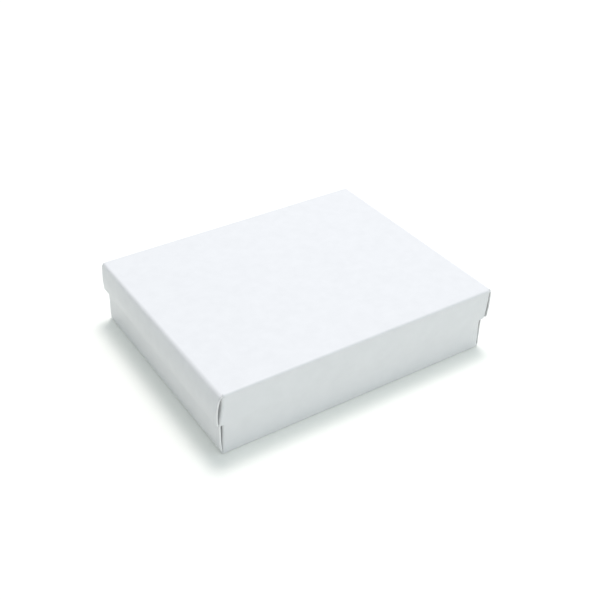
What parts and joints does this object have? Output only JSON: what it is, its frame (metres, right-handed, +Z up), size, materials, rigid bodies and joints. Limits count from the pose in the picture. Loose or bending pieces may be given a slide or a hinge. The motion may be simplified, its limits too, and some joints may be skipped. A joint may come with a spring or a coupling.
{
  "type": "jewelry gift box",
  "caption": "Flat rectangular two-piece folding-board box: a lid over a base of folded panels, with a soft fibre pad inside to hold jewelry as a gift.",
  "frame": {"origin": "centre of the underside of the closed box, where it stands on a table", "axes": "+X along the long walls, +Y from the front long wall to the back one, +Z up, the way the lid lifts off"},
  "size_m": [0.112, 0.0896, 0.0255],
  "materials": {
    "lid_board": "satin",
    "base_board": "satin",
    "fibre_fill": "matte"
  },
  "bodies": {
    "base": {"base_back_left_tab": "base_board", "base_back_right_tab": "base_board", "base_back_wall": "base_board", "base_bottom": "base_board", "base_front_left_tab": "base_board", "base_front_right_tab": "base_board", "base_front_wall": "base_board", "base_left_inner_panel": "base_board", "base_left_wall": "base_board", "base_right_inner_panel": "base_board", "base_right_wall": "base_board"},
    "pad": {"fibre_pad": "fibre_fill"},
    "lid": {"lid_back_left_tab": "lid_board", "lid_back_right_tab": "lid_board", "lid_back_wall": "lid_board", "lid_front_left_tab": "lid_board", "lid_front_right_tab": "lid_board", "lid_front_wall": "lid_board", "lid_left_inner_panel": "lid_board", "lid_left_wall": "lid_board", "lid_right_inner_panel": "lid_board", "lid_right_wall": "lid_board", "lid_top": "lid_board"}
  },
  "joints": [
    {"name": "pad_lift", "type": "slide", "parent": "base", "child": "pad", "axis": [0, 0, 1], "range_m": [0, 0.04]},
    {"name": "lid_lift", "type": "slide", "parent": "pad", "child": "lid", "axis": [0, 0, 1], "range_m": [0, 0.055]}
  ]
}
